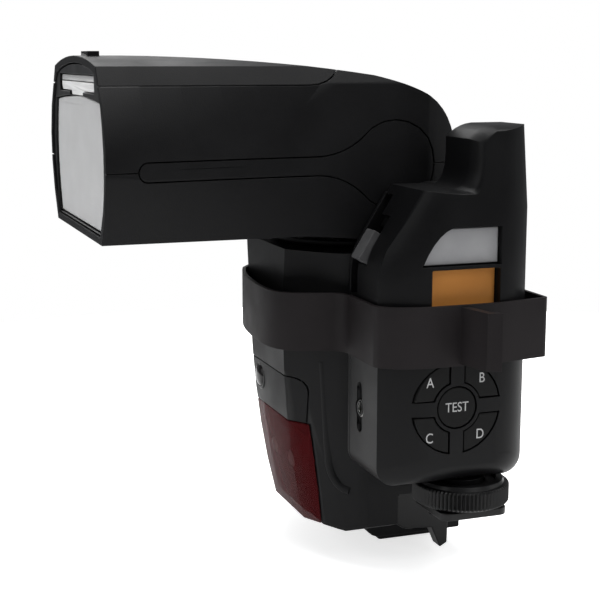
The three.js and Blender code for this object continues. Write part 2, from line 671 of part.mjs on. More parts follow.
piece("trigger_back_shell", without(
  boxSolid.subtract(antennaRoom).intersect(block(box.inner, box.back - split, -50, 50, 0, 103)),
  boxCavity,
), black);
piece("trigger_front_shell", without(
  boxSolid.subtract(antennaRoom).intersect(block(box.back + split, 60, -50, 50, 0, 130)),
  boxCavity, keyHoles, channelCut, switchSeat, jackRecess,
  prismX(panelOutline(gap), 54.3, 60, 1, 5),
  prismX(displayOutline(gap), 53.6, 60, 1, 3),
  rodZ(wheel.x, wheel.y, 4 + gap, 20, 40, 20),
), black);
piece("trigger_panel", prismX(panelOutline(0), 54.6, 55.9, 1, 5), grey);
piece("trigger_display", prismX(displayOutline(0), 53.9, 55.0, 1, 3), orange);
keys.forEach(({ name, ySign, zSign }) => {
  piece(name, prismX(quadrant(ySign, zSign, 0), 53.4, box.face - 0.1), black);
});
piece("test_button", rodX(keypad.y, keypad.z, keypad.button, 53.4, box.face - 0.1), black);
piece("mode_switch", prismX(switchProfile(-4.8, 3.4, 1.8, 1.6), 38.1, 43.2), grey);
piece("trigger_jack", without(
  rodY(jack.x, jack.z, jack.radius, box.front + 0.2, box.front + 3.6, 20),
  rodY(jack.x, jack.z, 1.3, -40, box.front + 3, 16),
), steel);
piece("trigger_board", block(46, 47.6, -21, 8.4, 40, 89), green);

// ---- trigger foot and its knurled lock wheel ----
const plateHalf = foot.plateHalf;
piece("trigger_foot", joined(
  prismZ(roundedRectangle(
    wheel.x - plateHalf, wheel.x + plateHalf, wheel.y - plateHalf, wheel.y + plateHalf, 2.6,
  ), 21.5, 23.5, 1, 3),
  rodZ(wheel.x, wheel.y, wheel.bore - gap, 23, box.low - gap, 24),
  rodZ(wheel.x, wheel.y, 4, 30, 35.5, 20),
), steel);
const knurl = new THREE.Shape();
for (let tooth = 0; tooth < wheel.teeth; tooth += 1) {
  [[0, 1], [0.5, 0.955]].forEach(([share, height]) => {
    const angle = ((tooth + share) / wheel.teeth) * Math.PI * 2;
    const u = wheel.x + wheel.radius * height * Math.cos(angle);
    const v = wheel.y + wheel.radius * height * Math.sin(angle);
    if (tooth === 0 && share === 0) {
      knurl.moveTo(u, v);
    } else {
      knurl.lineTo(u, v);
    }
  });
}
piece("lock_wheel", without(
  prismZ(knurl, wheel.low, wheel.high - 1.2),
  rodZ(wheel.x, wheel.y, wheel.bore, 20, 40, 28),
).add(without(
  rodZ(wheel.x, wheel.y, wheel.radius - 1.6, wheel.high - 1.6, wheel.high, 36),
  rodZ(wheel.x, wheel.y, wheel.bore, 20, 40, 28),
)), darkBlack);

// ---- strap: one flat band round the body and the box, slack at the front ----
const route = new THREE.Path();
route.moveTo(54.6, 16.6);
route.lineTo(-26.4, 16.6);
route.absarc(-26.4, 10, 6.6, Math.PI / 2, Math.PI);
route.lineTo(-33, -20);
route.quadraticCurveTo(-33, -29, -24.2, -35.2);
route.lineTo(-17, -40.2);
route.bezierCurveTo(-10, -43, -3, -44.6, 12, -45.6);
route.bezierCurveTo(27, -46.2, 28.4, -43, 31.9, -31.8);
route.quadraticCurveTo(33, -29, 36.4, -28.75);
route.lineTo(52.3, -28.7);
route.bezierCurveTo(56.2, -27.2, 58.3, -21.5, 58.35, -14);
route.lineTo(58.35, -1);
route.bezierCurveTo(58.3, 4, 57.4, 7, 56.9, 10);
route.lineTo(56, 15.4);
route.quadraticCurveTo(55.8, 16.6, 54.6, 16.6);

// The route moved sideways by an offset, with mitred corners.
const band = (offset) => {
  const spots = route.getPoints(7).slice(0, -1);
  return spots.map((spot, index) => {
    const before = spots[(index + spots.length - 1) % spots.length];
    const after = spots[(index + 1) % spots.length];
    const arriving = spot.clone().sub(before).normalize();
    const leaving = after.clone().sub(spot).normalize();
    const along = arriving.clone().add(leaving).normalize();
    const reach = offset / along.dot(leaving);
    return new THREE.Vector2(spot.x - along.y * reach, spot.y + along.x * reach);
  });
};
const bandShape = new THREE.Shape(band(-strapBand.thick / 2));
bandShape.holes.push(new THREE.Path(band(strapBand.thick / 2)));
const pullTab = polygon(
  [58.4, -8.8], [67.6, -6.6], [68.4, -6.5], [69.4, -2.9], [66.8, -3.2], [66.6, -4.6], [58.4, -6.6],
);
piece("strap", joined(
  prismZ(bandShape, strapBand.low, strapBand.high),
  prismZ(pullTab, strapBand.low + 0.5, strapBand.high - 0.5),
), rubber);

export default assembly;
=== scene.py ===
import math
import bmesh
import bpy
from mathutils import Matrix, Vector


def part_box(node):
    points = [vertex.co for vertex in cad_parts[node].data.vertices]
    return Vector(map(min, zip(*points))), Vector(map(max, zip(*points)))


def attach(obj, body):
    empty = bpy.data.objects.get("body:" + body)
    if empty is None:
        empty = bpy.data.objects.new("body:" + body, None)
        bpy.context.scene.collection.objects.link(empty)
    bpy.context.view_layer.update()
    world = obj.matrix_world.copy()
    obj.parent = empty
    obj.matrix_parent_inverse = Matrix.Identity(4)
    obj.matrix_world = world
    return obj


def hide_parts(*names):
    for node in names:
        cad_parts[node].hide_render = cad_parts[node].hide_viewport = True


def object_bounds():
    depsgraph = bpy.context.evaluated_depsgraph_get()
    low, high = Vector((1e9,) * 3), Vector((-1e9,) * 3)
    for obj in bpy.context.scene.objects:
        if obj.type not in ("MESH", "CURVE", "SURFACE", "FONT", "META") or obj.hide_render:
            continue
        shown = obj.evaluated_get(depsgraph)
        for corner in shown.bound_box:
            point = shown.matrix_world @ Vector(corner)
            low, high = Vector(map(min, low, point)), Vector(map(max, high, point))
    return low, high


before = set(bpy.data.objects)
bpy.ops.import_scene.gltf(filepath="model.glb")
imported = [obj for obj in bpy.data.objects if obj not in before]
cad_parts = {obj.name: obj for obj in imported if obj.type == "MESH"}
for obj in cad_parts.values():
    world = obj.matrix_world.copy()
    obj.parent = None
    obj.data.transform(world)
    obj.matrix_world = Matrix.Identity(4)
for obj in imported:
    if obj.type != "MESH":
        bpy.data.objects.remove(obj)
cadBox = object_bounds()
mm = 0.001
print("frame loaded")


# ---- small helpers ----
def linear(code):
    # sRGB hex to the linear colour that a shader takes
    parts = [int(code[i:i + 2], 16) / 255 for i in (0, 2, 4)]
    return [p / 12.92 if p <= 0.04045 else ((p + 0.055) / 1.055) ** 2.4 for p in parts] + [1]


def addNode(tree, kind, settings=(), links=()):
    # one shader node, with its settings and what feeds it
    node = tree.nodes.new("ShaderNode" + kind)
    for key, value in dict(settings).items():
        if isinstance(key, int) or key in node.inputs:
            node.inputs[key].default_value = value
        else:
            setattr(node, key, value)
    for key, socket in dict(links).items():
        tree.links.new(socket, node.inputs[key])
    return node


def newMaterial(name, shaderSettings):
    material = bpy.data.materials.new(name)
    material.use_nodes = True
    tree = material.node_tree
    tree.nodes.clear()
    shader = addNode(tree, "BsdfPrincipled", shaderSettings)
    addNode(tree, "OutputMaterial", links={"Surface": shader.outputs[0]})
    place = addNode(tree, "TexCoord").outputs["Object"]
    return material, tree, shader, place


def addPiece(name, shape, body, finish, replaced=(), smooth=38, weighted=False):
    # a bmesh becomes a mesh object at the origin that rides on a body
    mesh = bpy.data.meshes.new(name)
    shape.to_mesh(mesh)
    shape.free()
    mesh.materials.append(finish)
    mesh.shade_smooth()
    mesh.set_sharp_from_angle(angle=math.radians(smooth))
    piece = bpy.data.objects.new(name, mesh)
    bpy.context.scene.collection.objects.link(piece)
    if weighted:
        piece.modifiers.new("evenFaces", "WEIGHTED_NORMAL").keep_sharp = True
    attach(piece, body)
    if replaced:
        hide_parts(*replaced)
    return piece


def spanOf(node):
    # a CAD node's low and high corners in millimetres
    low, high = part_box(node)
    return Vector(low) / mm, Vector(high) / mm


def cutAt(shape, place, normal, keepSeam=False):
    # a plane through the whole shape; a kept seam stays when flat faces are joined
    cut = bmesh.ops.bisect_plane(
        shape, geom=shape.verts[:] + shape.edges[:] + shape.faces[:], dist=0.001 * mm,
        plane_co=Vector(place) * mm, plane_no=normal)["geom_cut"]
    for item in cut:
        if keepSeam and isinstance(item, bmesh.types.BMEdge):
            item.seam = True


def keepBetween(shape, axis, low, high):
    # only the slice of a shape between two planes, open where it was cut
    for level, side in ((low, -1), (high, 1)):
        place, normal = Vector((0, 0, 0)), Vector((0, 0, 0))
        place[axis] = level * mm
        normal[axis] = side
        bmesh.ops.bisect_plane(
            shape, geom=shape.verts[:] + shape.edges[:] + shape.faces[:], dist=0.001 * mm,
            plane_co=place, plane_no=normal, clear_outer=True)
    return shape


def mergedCopy(node, weld=0.02, cuts=()):
    # a CAD node's triangles, welded and joined into flat faces; cuts pass through its holes,
    # since a face can't run all the way round one
    shape = bmesh.new()
    shape.from_mesh(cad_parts[node].data)
    bmesh.ops.remove_doubles(shape, verts=shape.verts, dist=weld * mm)
    bmesh.ops.dissolve_degenerate(shape, edges=shape.edges, dist=0.004 * mm)
    for place, normal in cuts:
        cutAt(shape, place, normal, keepSeam=True)
    bmesh.ops.dissolve_limit(shape, verts=shape.verts, edges=shape.edges,
                             angle_limit=math.radians(0.7), delimit={"SEAM"})
    return shape


def breakEdges(shape, width, segments=2, turn=35, where=None):
    # moulded parts have no knife edges: every outer edge gets its small radius
    sharp = [edge for edge in shape.edges
             if edge.is_manifold and edge.calc_face_angle_signed() > math.radians(turn)
             and (where is None or where((edge.verts[0].co + edge.verts[1].co) / 2 / mm))]
    bmesh.ops.bevel(shape, geom=sharp, offset=width * mm, offset_type="OFFSET", affect="EDGES",
                    segments=segments, profile=0.5, material=-1, clamp_overlap=True)
    return shape


def inPlace(shape, place, turn=None):
    # millimetres on the axes of the part, after an optional turn
    matrix = Matrix.Translation(Vector(place) * mm) @ (turn.to_4x4() if turn else Matrix())
    bmesh.ops.transform(shape, matrix=matrix, verts=shape.verts)
    return shape


facingRight = Matrix(((0, 0, 1), (1, 0, 0), (0, 1, 0)))
facingLeft = Matrix(((0, 0, -1), (-1, 0, 0), (0, 1, 0)))
facingRear = Matrix(((-1, 0, 0), (0, 0, 1), (0, 1, 0)))
facingFront = Matrix(((1, 0, 0), (0, 0, -1), (0, 1, 0)))


def roundStack(rings, sides=64, hollow=False):
    # a turned shape: rings of (radius, height, notch) from the bottom up, every other side
    # cut in by the notch; a hollow one joins its last ring to its first, round a bore
    shape = bmesh.new()
    bmesh.ops.create_circle(shape, cap_ends=False, segments=sides, radius=rings[0][0] * mm,
                            matrix=Matrix.Translation((0, 0, rings[0][1] * mm)))
    firstEdges = edges = list(shape.edges)
    if not hollow:
        bmesh.ops.contextual_create(shape, geom=edges)
    for radius, height, *notch in rings[1:]:
        grown = bmesh.ops.extrude_edge_only(shape, edges=edges)["geom"]
        edges = [item for item in grown if isinstance(item, bmesh.types.BMEdge)]
        for vert in {vert for edge in edges for vert in edge.verts}:
            side = round(math.atan2(vert.co.y, vert.co.x) / math.tau * sides)
            reach = radius - (notch[0] if notch and side % 2 else 0)
            flat = vert.co.xy.normalized() * reach * mm
            vert.co = (flat.x, flat.y, height * mm)
    if hollow:
        bmesh.ops.bridge_loops(shape, edges=firstEdges + edges)
    else:
        bmesh.ops.contextual_create(shape, geom=edges)
    bmesh.ops.recalc_face_normals(shape, faces=shape.faces)
    return shape


def domeRings(radius, height, rise, steps=8):
    # rings of a dome that starts at a height and rises to its crown
    return [(max(radius * math.cos(math.pi / 2 * i / steps), 0.02),
             height + rise * math.sin(math.pi / 2 * i / steps)) for i in range(steps + 1)]


def roundedBar(size, radius, segments=3):
    # a block about the origin with every edge rounded
    shape = bmesh.new()
    bmesh.ops.create_cube(shape, size=mm)
    bmesh.ops.scale(shape, vec=size, verts=shape.verts)
    bmesh.ops.bevel(shape, geom=shape.edges[:], offset=radius * mm, offset_type="OFFSET",
                    affect="EDGES", segments=segments, profile=0.5, material=-1, clamp_overlap=True)
    return shape


def gathered(*shapes):
    # several bmeshes in one
    whole = bmesh.new()
    for shape in shapes:
        mesh = bpy.data.meshes.new("part")
        shape.to_mesh(mesh)
        shape.free()
        whole.from_mesh(mesh)
        bpy.data.meshes.remove(mesh)
    return whole


def curveShape(curve):
    # a curve or a text made a bmesh
    holder = bpy.data.objects.new("holder", curve)
    bpy.context.scene.collection.objects.link(holder)
    bpy.context.view_layer.update()
    mesh = bpy.data.meshes.new_from_object(holder.evaluated_get(
        bpy.context.evaluated_depsgraph_get()))
    bpy.data.objects.remove(holder)
    shape = bmesh.new()
    shape.from_mesh(mesh)
    bpy.data.meshes.remove(mesh)
    return shape


def lettering(text, height, turn, place, squeeze=0.85, thick=0.03):
    # printed legend: the font's capitals are 0.72 of its size
    curve = bpy.data.curves.new("legend", "FONT")
    curve.body = text
    curve.size = height / 0.72 * mm
    curve.align_x = "CENTER"
    curve.align_y = "CENTER"
    curve.extrude = thick * mm
    shape = curveShape(curve)
    bmesh.ops.scale(shape, vec=(squeeze, 1, 1), verts=shape.verts)
    return inPlace(shape, place, turn)


def bead(points, radius):
    # a round bead along a smooth line through the points
    curve = bpy.data.curves.new("bead", "CURVE")
    curve.dimensions = "3D"
    curve.resolution_u = 8
    curve.bevel_depth = radius * mm
    curve.bevel_resolution = 3
    curve.use_fill_caps = True
    line = curve.splines.new("BEZIER")
    line.bezier_points.add(len(points) - 1)
    for knot, place in zip(line.bezier_points, points):
        knot.co = Vector(place) * mm
        knot.handle_left_type = knot.handle_right_type = "AUTO"
    return curveShape(curve)


# ---- camera and studio ----
cameraPlan = {"place": (345.99, -153.57, 136.65), "aim": (-0.9260, 0.3325, -0.1788), "lens": 80.04}
cameraData = bpy.data.cameras.new("camera")
cameraData.lens = cameraPlan["lens"]
cameraData.sensor_width = 36
cameraData.clip_start = 0.01
camera = bpy.data.objects.new("camera", cameraData)
camera.location = Vector(cameraPlan["place"]) * mm
camera.rotation_euler = Vector(cameraPlan["aim"]).to_track_quat("-Z", "Y").to_euler()
bpy.context.scene.collection.objects.link(camera)
bpy.context.scene.camera = camera

softboxes = {
    "topBox": {"place": (0.05, 0.05, 0.95), "size": 0.9, "power": 13},
    "frontBox": {"place": (0.15, -0.95, 0.45), "size": 0.7, "power": 2.2},
    "rearBox": {"place": (0.35, 0.9, 0.5), "size": 0.6, "power": 1.9},
    "sideBox": {"place": (0.95, 0.25, 0.75), "size": 0.5, "power": 2.4},
    "farBox": {"place": (-0.9, -0.1, 0.6), "size": 0.7, "power": 3},
}
lampAim = Vector((0, -0.03, 0.07))
for name, plan in softboxes.items():
    lamp = bpy.data.lights.new(name, "AREA")
    lamp.shape = "SQUARE"
    lamp.size = plan["size"]
    lamp.energy = plan["power"]
    box = bpy.data.objects.new(name, lamp)
    box.location = plan["place"]
    box.rotation_euler = (lampAim - box.location).to_track_quat("-Z", "Y").to_euler()
    bpy.context.scene.collection.objects.link(box)

studio = bpy.data.worlds.new("studio")
studio.use_nodes = True
studioTree = studio.node_tree
studioTree.nodes.clear()
seen = addNode(studioTree, "LightPath").outputs["Is Camera Ray"]
paleWall = addNode(studioTree, "Background", {"Color": (1, 1, 1, 1), "Strength": 1.0})
dimRoom = addNode(studioTree, "Background", {"Color": (0.95, 0.97, 1, 1), "Strength": 0.2})
eitherRoom = addNode(studioTree, "MixShader", links={
    0: seen, 1: dimRoom.outputs[0], 2: paleWall.outputs[0]})
addNode(studioTree, "OutputWorld", links={"Surface": eitherRoom.outputs[0]})
bpy.context.scene.world = studio
bpy.context.scene.view_settings.view_transform = "Standard"

floorMaterial, floorTree, floorShader, floorPlace = newMaterial(
    "paintedFloor", {"Roughness": 0.9, "Specular IOR Level": 0.1,
                     "Emission Color": (1, 1, 1, 1)})  # matt white studio paint
floorGlow = addNode(floorTree, "Math", {"operation": "MULTIPLY_ADD", 1: 0.5, 2: 0.2},
                    {0: addNode(floorTree, "LightPath").outputs["Is Camera Ray"]})
floorTree.links.new(floorGlow.outputs[0], floorShader.inputs["Emission Strength"])
floorMottle = addNode(floorTree, "TexNoise", {"Scale": 9, "Detail": 2}, {"Vector": floorPlace})
floorTone = addNode(floorTree, "ValToRGB", links={"Fac": floorMottle.outputs["Fac"]})
floorTone.color_ramp.elements[0].color = linear("f9f9f9")
floorTone.color_ramp.elements[1].color = linear("fefefe")
floorTree.links.new(floorTone.outputs["Color"], floorShader.inputs["Base Color"])
floorShape = bmesh.new()
bmesh.ops.create_circle(floorShape, cap_ends=True, segments=96, radius=0.36)
floorMesh = bpy.data.meshes.new("floor")
floorShape.to_mesh(floorMesh)
floorShape.free()
floorMesh.transform(Matrix.Translation((0, 0, cadBox[0].z - 0.02 * mm)))
floorMesh.materials.append(floorMaterial)
floor = bpy.data.objects.new("floor", floorMesh)
bpy.context.scene.collection.objects.link(floor)
print("camera and studio")


# ---- finishes ----
def mouldedPlastic(name, look):
    # grain is the tool's texture, blotch the slow change in sheen that handling leaves
    material, tree, shader, place = newMaterial(name, {
        "IOR": look.get("ior", 1.5), "Specular IOR Level": look.get("shine", 0.22),
        "Coat Weight": look.get("coat", 0), "Coat Roughness": 0.08})
    blotch = addNode(tree, "TexNoise", {"Scale": 1 / (look["blotch"] * mm), "Detail": 4},
                     {"Vector": place}).outputs["Fac"]
    grain = addNode(tree, "TexNoise", {"Scale": 1 / (look["grain"] * mm), "Detail": 2,
                                       "Roughness": 0.6}, {"Vector": place}).outputs["Fac"]
    tone = addNode(tree, "ValToRGB", links={"Fac": blotch})
    tone.color_ramp.elements[0].position = 0.3
    tone.color_ramp.elements[0].color = linear(look["dark"])
    tone.color_ramp.elements[1].position = 0.75
    tone.color_ramp.elements[1].color = linear(look["pale"])
    low, high = look["rough"]
    sheen = addNode(tree, "MapRange", {"From Min": 0.3, "From Max": 0.7, "To Min": low,
                                       "To Max": high}, {"Value": blotch})
    corner = addNode(tree, "Bevel", {"samples": 4, "Radius": look.get("edge", 0.15) * mm})
    bump = addNode(tree, "Bump", {"Strength": look["depth"], "Distance": look["grain"] * 0.3 * mm},
                   {"Height": grain, "Normal": corner.outputs[0]})
    tree.links.new(tone.outputs["Color"], shader.inputs["Base Color"])
    tree.links.new(sheen.outputs["Result"], shader.inputs["Roughness"])
    tree.links.new(bump.outputs["Normal"], shader.inputs["Normal"])
    return material


def brightMetal(name, look):
    # drawn, turned or plated metal; streaks run along one axis
    material, tree, shader, place = newMaterial(name, {"Metallic": 1.0})
    stretch = addNode(tree, "Mapping", {"Scale": look["streak"]}, {"Vector": place})
    streaks = addNode(tree, "TexNoise", {"Scale": 1 / (look["grain"] * mm), "Detail": 3},
                      {"Vector": stretch.outputs[0]}).outputs["Fac"]
    tone = addNode(tree, "ValToRGB", links={"Fac": streaks})
    tone.color_ramp.elements[0].color = linear(look["dark"])
    tone.color_ramp.elements[1].color = linear(look["pale"])
    low, high = look["rough"]
    sheen = addNode(tree, "MapRange", {"To Min": low, "To Max": high}, {"Value": streaks})
    bump = addNode(tree, "Bump", {"Strength": 0.15, "Distance": 0.02 * mm}, {"Height": streaks})
    tree.links.new(tone.outputs["Color"], shader.inputs["Base Color"])
    tree.links.new(sheen.outputs["Result"], shader.inputs["Roughness"])
    tree.links.new(bump.outputs["Normal"], shader.inputs["Normal"])
    return material


def clearPlastic(name, look):
    # polished polycarbonate or acrylic: clear, with moulding ripples too slow to feel
    material, tree, shader, place = newMaterial(name, {
        "IOR": look["ior"], "Transmission Weight": look["clear"],
        "Coat Weight": look.get("coat", 0.4), "Coat Roughness": 0.03,
        "Alpha": look.get("alpha", 1),
        "Specular IOR Level": look.get("shine", 0.5)})
    ripple = addNode(tree, "TexNoise", {"Scale": 1 / (look["ripple"] * mm), "Detail": 2},
                     {"Vector": place}).outputs["Fac"]
    tone = addNode(tree, "ValToRGB", links={"Fac": ripple})
    tone.color_ramp.elements[0].color = linear(look["dark"])
    tone.color_ramp.elements[1].color = linear(look["pale"])
    low, high = look["rough"]
    sheen = addNode(tree, "MapRange", {"To Min": low, "To Max": high}, {"Value": ripple})
    bump = addNode(tree, "Bump", {"Strength": look["depth"], "Distance": 0.05 * mm},
                   {"Height": ripple})
    tree.links.new(tone.outputs["Color"], shader.inputs["Base Color"])
    tree.links.new(sheen.outputs["Result"], shader.inputs["Roughness"])
    tree.links.new(bump.outputs["Normal"], shader.inputs["Normal"])
    return material


# Black ABS from a spark-eroded tool: even, slightly pebbled satin. The pebble is 0.25 mm on
# such casings and is drawn a little coarser so that it shows.
casingAbs = mouldedPlastic("sparkErodedAbs", {
    "dark": "0d0d0e", "pale": "121213", "rough": (0.42, 0.54), "grain": 0.34, "depth": 0.3,
    "blotch": 14, "ior": 1.28, "shine": 0.3})
# Trim and controls are the same plastic from a polished tool.
trimAbs = mouldedPlastic("smoothBlackAbs", {
    "dark": "090909", "pale": "0d0d0e", "rough": (0.3, 0.4), "grain": 0.5, "depth": 0.06,
    "blotch": 9})
keyRubber = mouldedPlastic("siliconeKeys", {
    "dark": "070707", "pale": "0b0b0b", "rough": (0.5, 0.6), "grain": 0.3, "depth": 0.12,
    "blotch": 5, "shine": 0.14})  # dry matt rubber, no sparkle
triggerAbs = mouldedPlastic("satinBlackAbs", {
    "dark": "070708", "pale": "0b0b0c", "rough": (0.36, 0.46), "grain": 0.3, "depth": 0.18,
    "blotch": 16, "ior": 1.45, "shine": 0.16})
strapRubber = mouldedPlastic("mouldedStrapRubber", {
    "dark": "171415", "pale": "1d1a1b", "rough": (0.48, 0.62), "grain": 0.45, "depth": 0.14,
    "blotch": 11, "edge": 0.25, "ior": 1.36})  # warm grey-black, waxy at the edges
paleInk = mouldedPlastic("padPrintedInk", {
    "dark": "9c9c9c", "pale": "aaaaaa", "rough": (0.55, 0.65), "grain": 0.2, "depth": 0.1,
    "blotch": 2, "edge": 0.01})
greyPaint = mouldedPlastic("satinGreyPaint", {
    "dark": "88888a", "pale": "919192", "rough": (0.4, 0.5), "grain": 0.4, "depth": 0.08,
    "blotch": 7})
slideGrey = mouldedPlastic("darkGreySlideAbs", {
    "dark": "3c3c3d", "pale": "444445", "rough": (0.42, 0.52), "grain": 0.35, "depth": 0.12,
    "blotch": 3})
cardPet = mouldedPlastic("whiteMattPet", {
    "dark": "f6f6f5", "pale": "fcfcfb", "rough": (0.5, 0.6), "grain": 0.6, "depth": 0.05,
    "blotch": 12})  # bounce card, dead matt white
amberFilm = mouldedPlastic("amberDisplayFilm", {
    "dark": "b77a3c", "pale": "c28443", "rough": (0.3, 0.38), "grain": 0.8, "depth": 0.02,
    "blotch": 18, "coat": 0.1, "shine": 0.1})  # unlit amber backlight under a hard clear face
liquidCrystal = mouldedPlastic("liquidCrystalCell", {
    "dark": "5f6b5c", "pale": "6a7666", "rough": (0.18, 0.25), "grain": 0.7, "depth": 0.02,
    "blotch": 15, "coat": 0.4})
darkInk = mouldedPlastic("darkSegmentInk", {
    "dark": "1c211c", "pale": "232823", "rough": (0.3, 0.4), "grain": 0.4, "depth": 0.02,
    "blotch": 4, "edge": 0.01})
boardMask = mouldedPlastic("greenSolderMask", {
    "dark": "1f4a30", "pale": "2f6a45", "rough": (0.35, 0.5), "grain": 1.2, "depth": 0.4,
    "blotch": 3})
sleeveVinyl = mouldedPlastic("shrinkSleeveVinyl", {
    "dark": "1d2740", "pale": "26345a", "rough": (0.25, 0.35), "grain": 1.0, "depth": 0.05,
    "blotch": 8})
cellFilm = mouldedPlastic("printedCellFilm", {
    "dark": "55575b", "pale": "74767b", "rough": (0.22, 0.32), "grain": 0.8, "depth": 0.05,
    "blotch": 6})
frostedAcrylic = mouldedPlastic("frostedAcrylic", {
    "dark": "cecece", "pale": "d8d8d8", "rough": (0.35, 0.45), "grain": 0.5, "depth": 0.05,
    "blotch": 10, "coat": 0.3})  # diffusing pane: pale, milky, still glossy
milkyLamp = clearPlastic("milkyPolycarbonate", {
    "dark": "e6ddd6", "pale": "f2ece6", "rough": (0.2, 0.3), "ior": 1.58, "clear": 0.5,
    "ripple": 4, "depth": 0.1})
redPolycarbonate = clearPlastic("redPolycarbonate", {
    "dark": "3a0508", "pale": "46080c", "rough": (0.42, 0.5), "ior": 1.14, "clear": 0,
    "ripple": 8, "depth": 0.05, "alpha": 0.82, "coat": 0, "shine": 0.3})  # deep red filter
smokedAcrylic = clearPlastic("smokedAcrylic", {
    "dark": "1a1c1a", "pale": "222422", "rough": (0.06, 0.1), "ior": 1.49, "clear": 0,
    "ripple": 12, "depth": 0.04, "alpha": 0.22, "coat": 0.2})  # thin tinted cover, seen through
sensorGlass = clearPlastic("darkSensorLens", {
    "dark": "070405", "pale": "0c0708", "rough": (0.14, 0.2), "ior": 1.5, "clear": 0,
    "ripple": 3, "depth": 0.03, "coat": 0.05, "shine": 0.3})
frostedPet = mouldedPlastic("frostedPet", {
    "dark": "f6f6f5", "pale": "fbfbfa", "rough": (0.35, 0.45), "grain": 0.5, "depth": 0.1,
    "blotch": 6, "coat": 0.2})  # wide-angle diffuser sheet, milky and slightly glossy
tubeGlass = clearPlastic("borosilicateTube", {
    "dark": "eef4f6", "pale": "f6fafc", "rough": (0.02, 0.04), "ior": 1.47, "clear": 0.95,
    "ripple": 10, "depth": 0.02})
turnedSteel = brightMetal("turnedSteel", {
    "dark": "7d7d7b", "pale": "a3a3a0", "rough": (0.25, 0.4), "grain": 0.4, "streak": (1, 1, 12)})
drawnCan = brightMetal("drawnSteelCan", {
    "dark": "8e8f92", "pale": "b5b6b9", "rough": (0.28, 0.4), "grain": 0.5, "streak": (1, 8, 1)})
brightReflector = brightMetal("brightAnodisedAluminium", {
    "dark": "d9dadc", "pale": "eeeff1", "rough": (0.08, 0.16), "grain": 1.0, "streak": (1, 6, 6)})
goldFlash = brightMetal("goldFlashedBrass", {
    "dark": "b58f45", "pale": "d8b466", "rough": (0.2, 0.32), "grain": 0.4, "streak": (1, 1, 6)})
print("finishes")

# ---- CAD nodes that keep their shape ----
keptNodes = {
    "reflector": brightReflector, "flash_tube": tubeGlass, "zoom_carriage": trimAbs,
    "zoom_screw": turnedSteel, "zoom_motor": drawnCan, "tilt_axle": turnedSteel,
    "battery_1": cellFilm, "battery_2": cellFilm, "battery_3": cellFilm, "battery_4": cellFilm,
    "capacitor": sleeveVinyl, "main_board": boardMask, "trigger_board": boardMask,
    "contact_pins": goldFlash,
}
for node, finish in keptNodes.items():
    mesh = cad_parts[node].data
    mesh.materials.clear()
    mesh.materials.append(finish)

